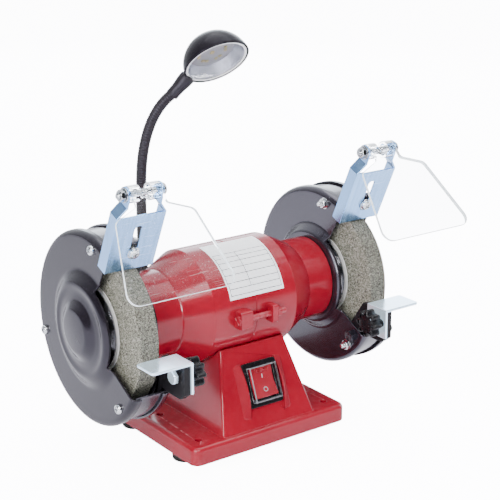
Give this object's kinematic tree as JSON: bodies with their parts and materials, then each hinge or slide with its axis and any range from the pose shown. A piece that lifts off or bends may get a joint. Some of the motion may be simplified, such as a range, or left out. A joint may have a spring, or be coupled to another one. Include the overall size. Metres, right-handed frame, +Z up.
{
  "type": "bench grinder",
  "caption": "Bench grinder with a grinding wheel at each end of its motor, sheet guards, tool rests, tilting clear eye shields, a rocker switch and a gooseneck work lamp.",
  "frame": {"origin": "on the bench under the middle of the machine's bounding box", "axes": "+X along the shaft towards the right wheel, -Y towards the user, +Z up"},
  "size_m": [0.3022, 0.1932, 0.3169],
  "materials": {
    "red_paint": "glossy red enamel",
    "black_paint": "glossy black enamel",
    "zinc": "bluish zinc plate",
    "steel": "plain steel",
    "chrome": "bright plated",
    "stone": "rough grey vitrified grain",
    "blotter": "white paper board",
    "rubber": "matt",
    "black_plastic": "satin",
    "red_plastic": "glossy",
    "clear_plastic": "clear",
    "label": "white film",
    "copper": "enamelled copper wire",
    "reflector": "bright",
    "led_white": "white board"
  },
  "bodies": {
    "frame": {"base_casting": "red_paint", "bottom_plate": "zinc", "rubber_feet": "rubber", "foot_screws": "zinc", "motor_housing_left": "red_paint", "motor_housing_right": "red_paint", "housing_bolts": "red_paint", "cradle_bolts": "zinc", "stator_core": "steel", "stator_windings": "copper", "bearings": "steel", "run_capacitor": "label", "rating_label": "label", "left_guard_inner": "black_paint", "right_guard_inner": "black_paint", "left_guard_cover": "black_paint", "right_guard_cover": "black_paint", "guard_screws": "zinc", "cover_screws": "zinc", "left_rest_support": "black_paint", "right_rest_support": "black_paint", "support_bolts": "zinc", "rest_bolts": "zinc", "deflector_screws": "zinc", "switch_housing": "black_plastic", "switch_cover": "clear_plastic", "cord_gland": "black_plastic", "lamp_foot": "black_paint", "lamp_foot_screws": "zinc", "neck_lower": "black_paint"},
    "rotor": {"shaft": "steel", "rotor_core": "steel", "cooling_fan": "black_plastic", "inner_flanges": "chrome", "left_wheel": "stone", "right_wheel": "stone", "wheel_blotters": "blotter", "outer_flanges": "chrome", "wheel_nuts": "zinc"},
    "left_deflector_slider": {"left_deflector": "zinc", "left_hinge_bolt": "zinc"},
    "right_deflector_slider": {"right_deflector": "zinc", "right_hinge_bolt": "zinc"},
    "left_eye_shield": {"left_shield": "clear_plastic"},
    "right_eye_shield": {"right_shield": "clear_plastic"},
    "left_rest": {"left_tool_rest": "zinc"},
    "right_rest": {"right_tool_rest": "zinc"},
    "left_clamp_knob": {"left_knob": "black_plastic"},
    "right_clamp_knob": {"right_knob": "black_plastic"},
    "rocker": {"switch_rocker": "red_plastic"},
    "middle_neck": {"neck_middle": "black_paint"},
    "upper_neck": {"neck_upper": "black_paint"},
    "lamp_head": {"lamp_ferrule": "black_paint", "lamp_shade": "black_paint", "lamp_reflector": "reflector", "led_board": "led_white", "lamp_lens": "clear_plastic"}
  },
  "joints": [
    {"name": "rotor_spin", "type": "hinge", "parent": "frame", "child": "rotor", "pos_m": [0, 0.02189, 0.11], "axis": [1, 0, 0], "continuous": true},
    {"name": "left_deflector_slide", "type": "slide", "parent": "frame", "child": "left_deflector_slider", "axis": [0, -0.4131, 0.9107], "range_m": [-0.0012, 0.003]},
    {"name": "left_shield_tilt", "type": "hinge", "parent": "left_deflector_slider", "child": "left_eye_shield", "pos_m": [-0.108, -0.03564, 0.22446], "axis": [-1, 0, 0], "range_deg": [-2, 110]},
    {"name": "left_rest_slide", "type": "slide", "parent": "frame", "child": "left_rest", "axis": [0, 1, 0], "range_m": [-0.005, 0.005]},
    {"name": "left_knob_turn", "type": "hinge", "parent": "frame", "child": "left_clamp_knob", "pos_m": [-0.084, -0.05871, 0.093], "axis": [1, 0, 0], "continuous": true},
    {"name": "right_deflector_slide", "type": "slide", "parent": "frame", "child": "right_deflector_slider", "axis": [0, -0.4131, 0.9107], "range_m": [-0.0012, 0.003]},
    {"name": "right_shield_tilt", "type": "hinge", "parent": "right_deflector_slider", "child": "right_eye_shield", "pos_m": [0.108, -0.03564, 0.22446], "axis": [-1, 0, 0], "range_deg": [-10, 105]},
    {"name": "right_rest_slide", "type": "slide", "parent": "frame", "child": "right_rest", "axis": [0, 1, 0], "range_m": [-0.005, 0.005]},
    {"name": "right_knob_turn", "type": "hinge", "parent": "frame", "child": "right_clamp_knob", "pos_m": [0.084, -0.05871, 0.093], "axis": [1, 0, 0], "continuous": true},
    {"name": "rocker_tilt", "type": "hinge", "parent": "frame", "child": "rocker", "pos_m": [0, -0.02636, 0.05228], "axis": [1, 0, 0], "range_deg": [0, 14]},
    {"name": "neck_lean", "type": "hinge", "parent": "frame", "child": "middle_neck", "pos_m": [-0.0352, 0.08434, 0.1224], "axis": [0, 1, 0], "range_deg": [-25, 25]},
    {"name": "neck_bend", "type": "hinge", "parent": "middle_neck", "child": "upper_neck", "pos_m": [-0.0352, 0.08434, 0.1904], "axis": [1, 0, 0], "range_deg": [-25, 25]},
    {"name": "head_tilt", "type": "hinge", "parent": "upper_neck", "child": "lamp_head", "pos_m": [-0.0146, 0.06704, 0.2672], "axis": [0.6471, 0.7624, 0], "range_deg": [-20, 20]}
  ]
}
